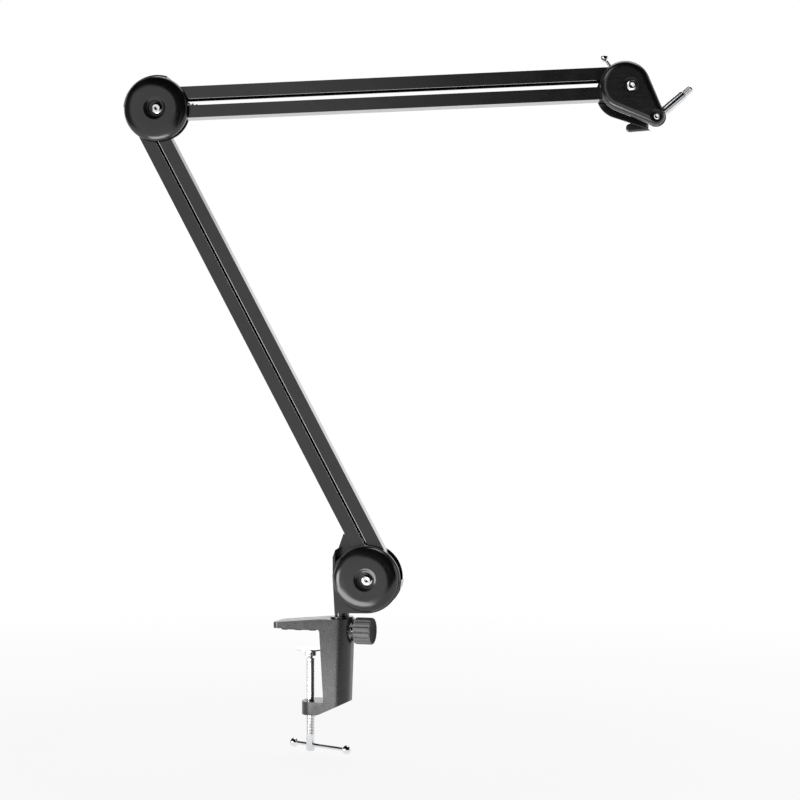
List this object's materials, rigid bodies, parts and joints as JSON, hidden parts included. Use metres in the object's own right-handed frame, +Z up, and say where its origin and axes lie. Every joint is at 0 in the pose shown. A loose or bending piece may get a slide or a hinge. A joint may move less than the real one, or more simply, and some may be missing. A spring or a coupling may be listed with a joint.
{
  "type": "microphone boom arm",
  "caption": "Desk-clamped microphone boom arm with spring-balanced parallel bars, domed joints, a screw clamp and a tilting threaded stud.",
  "frame": {"origin": "middle of the jaw pad's underside, where the clamp rests on the desk top", "axes": "+Z up, +X from the jaw tip towards the post and the lock knob, +Y away from the picture's viewer"},
  "size_m": [0.4599, 0.1225, 0.5738],
  "materials": {
    "powder_coat": "satin black powder coat",
    "cast_black": "fine-textured black paint on a casting",
    "black_plastic": "moulded black plastic, satin",
    "chrome": "bright chrome plate",
    "zinc": "bright zinc plate",
    "spring_steel": "drawn spring wire",
    "rubber": "matt black rubber",
    "nylon": "natural nylon"
  },
  "bodies": {
    "clamp": {"clamp_frame": "cast_black", "jaw_pad": "rubber", "socket_bush": "black_plastic"},
    "press": {"clamp_pad": "chrome"},
    "screw": {"clamp_screw": "chrome"},
    "tommy": {"tommy_bar": "chrome", "tommy_bar_balls": "chrome"},
    "tip": {"lock_tip": "nylon"},
    "knob": {"lock_knob": "black_plastic", "lock_screw": "zinc"},
    "base": {"base_post": "powder_coat", "base_bracket": "powder_coat", "base_spine": "powder_coat", "base_front_cover": "black_plastic", "base_rear_cover": "black_plastic", "base_bolt": "zinc", "base_nut": "zinc", "base_sleeve": "zinc", "base_pins": "zinc", "base_spacers": "nylon", "base_spring_anchor": "zinc"},
    "lower_outer": {"lower_outer_bar": "powder_coat", "lower_outer_bushes": "nylon", "lower_spring": "spring_steel", "lower_spring_pin": "powder_coat"},
    "lower_inner": {"lower_inner_bar": "powder_coat", "lower_inner_bushes": "nylon"},
    "elbow": {"elbow_front_plate": "powder_coat", "elbow_rear_plate": "powder_coat", "elbow_spine": "powder_coat", "elbow_front_cover": "black_plastic", "elbow_rear_cover": "black_plastic", "elbow_bolt": "zinc", "elbow_nut": "zinc", "elbow_sleeve": "zinc", "elbow_lower_pins": "zinc", "elbow_upper_pins": "zinc", "elbow_spring_anchor": "zinc"},
    "upper_top": {"upper_top_bar": "powder_coat", "upper_top_bushes": "nylon"},
    "upper_bottom": {"upper_bottom_bar": "powder_coat", "upper_bottom_bushes": "nylon", "upper_spring": "spring_steel", "upper_spring_pin": "powder_coat"},
    "head": {"head_front_plate": "powder_coat", "head_rear_plate": "powder_coat", "head_front_cover": "black_plastic", "head_rear_cover": "black_plastic", "head_bolt": "zinc", "head_sleeve": "zinc", "head_pins": "zinc", "head_spacers": "nylon", "swivel_bolt": "zinc", "swivel_washers": "nylon"},
    "swivel": {"knuckle": "chrome", "mic_stud": "chrome"},
    "wing": {"wing_lever": "black_plastic"},
    "lever": {"tension_lever": "chrome"}
  },
  "joints": [
    {"name": "press_slide", "type": "slide", "parent": "clamp", "child": "press", "axis": [0, 0, 1], "range_m": [-0.035, 0.013]},
    {"name": "screw_turn", "type": "hinge", "parent": "press", "child": "screw", "pos_m": [0.0068, 0, -0.05], "axis": [0, 0, 1], "range_deg": [-10080, 3744]},
    {"name": "tommy_slide", "type": "slide", "parent": "screw", "child": "tommy", "axis": [0.9135, -0.4067, 0], "range_m": [-0.0317, 0.0103]},
    {"name": "tip_slide", "type": "slide", "parent": "clamp", "child": "tip", "axis": [1, 0, 0], "range_m": [0, 0.003]},
    {"name": "knob_turn", "type": "hinge", "parent": "tip", "child": "knob", "pos_m": [0.049, 0, -0.0002], "axis": [1, 0, 0], "range_deg": [0, 1080]},
    {"name": "base_swivel", "type": "hinge", "parent": "clamp", "child": "base", "pos_m": [0.034, 0, 0], "axis": [0, 0, 1], "continuous": true},
    {"name": "lower_lean", "type": "hinge", "parent": "base", "child": "lower_outer", "pos_m": [0.05707, 0.00448, 0.052], "axis": [0.1908, -0.9816, 0], "range_deg": [-68, 14], "deforming": ["lower_spring"]},
    {"name": "lower_follow", "type": "hinge", "parent": "base", "child": "lower_inner", "pos_m": [0.07101, 0.00719, 0.052], "axis": [0.1908, -0.9816, 0], "range_deg": [-68, 14]},
    {"name": "elbow_level", "type": "hinge", "parent": "lower_outer", "child": "elbow", "pos_m": [-0.13144, -0.03216, 0.41933], "axis": [0.1908, -0.9816, 0], "range_deg": [-14, 68]},
    {"name": "upper_tilt", "type": "hinge", "parent": "elbow", "child": "upper_top", "pos_m": [-0.10503, -0.02703, 0.44158], "axis": [0.1908, -0.9816, 0], "range_deg": [-46, 43]},
    {"name": "upper_follow", "type": "hinge", "parent": "elbow", "child": "upper_bottom", "pos_m": [-0.10503, -0.02703, 0.42588], "axis": [0.1908, -0.9816, 0], "range_deg": [-46, 43], "deforming": ["upper_spring"]},
    {"name": "head_level", "type": "hinge", "parent": "upper_top", "child": "head", "pos_m": [0.25622, 0.0432, 0.45315], "axis": [0.1908, -0.9816, 0], "range_deg": [-43, 46]},
    {"name": "mic_tilt", "type": "hinge", "parent": "head", "child": "swivel", "pos_m": [0.28498, 0.04879, 0.4167], "axis": [0.1908, -0.9816, 0], "range_deg": [-110, 60]},
    {"name": "wing_turn", "type": "hinge", "parent": "head", "child": "wing", "pos_m": [0.28498, 0.04879, 0.4167], "axis": [0.1908, -0.9816, 0], "range_deg": [-30, 150]},
    {"name": "lever_turn", "type": "hinge", "parent": "head", "child": "lever", "pos_m": [0.26486, 0.04487, 0.4413], "axis": [0.1908, -0.9816, 0], "range_deg": [-60, 60]}
  ],
  "couplings": [
    {"joint": "press_slide", "follows": "screw_turn", "m_per_rad": 0.00019894},
    {"joint": "tip_slide", "follows": "knob_turn", "m_per_rad": 0.00015915},
    {"joint": "lower_follow", "follows": "lower_lean", "ratio": 1},
    {"joint": "elbow_level", "follows": "lower_lean", "ratio": -1},
    {"joint": "upper_follow", "follows": "upper_tilt", "ratio": 1},
    {"joint": "head_level", "follows": "upper_tilt", "ratio": -1}
  ]
}
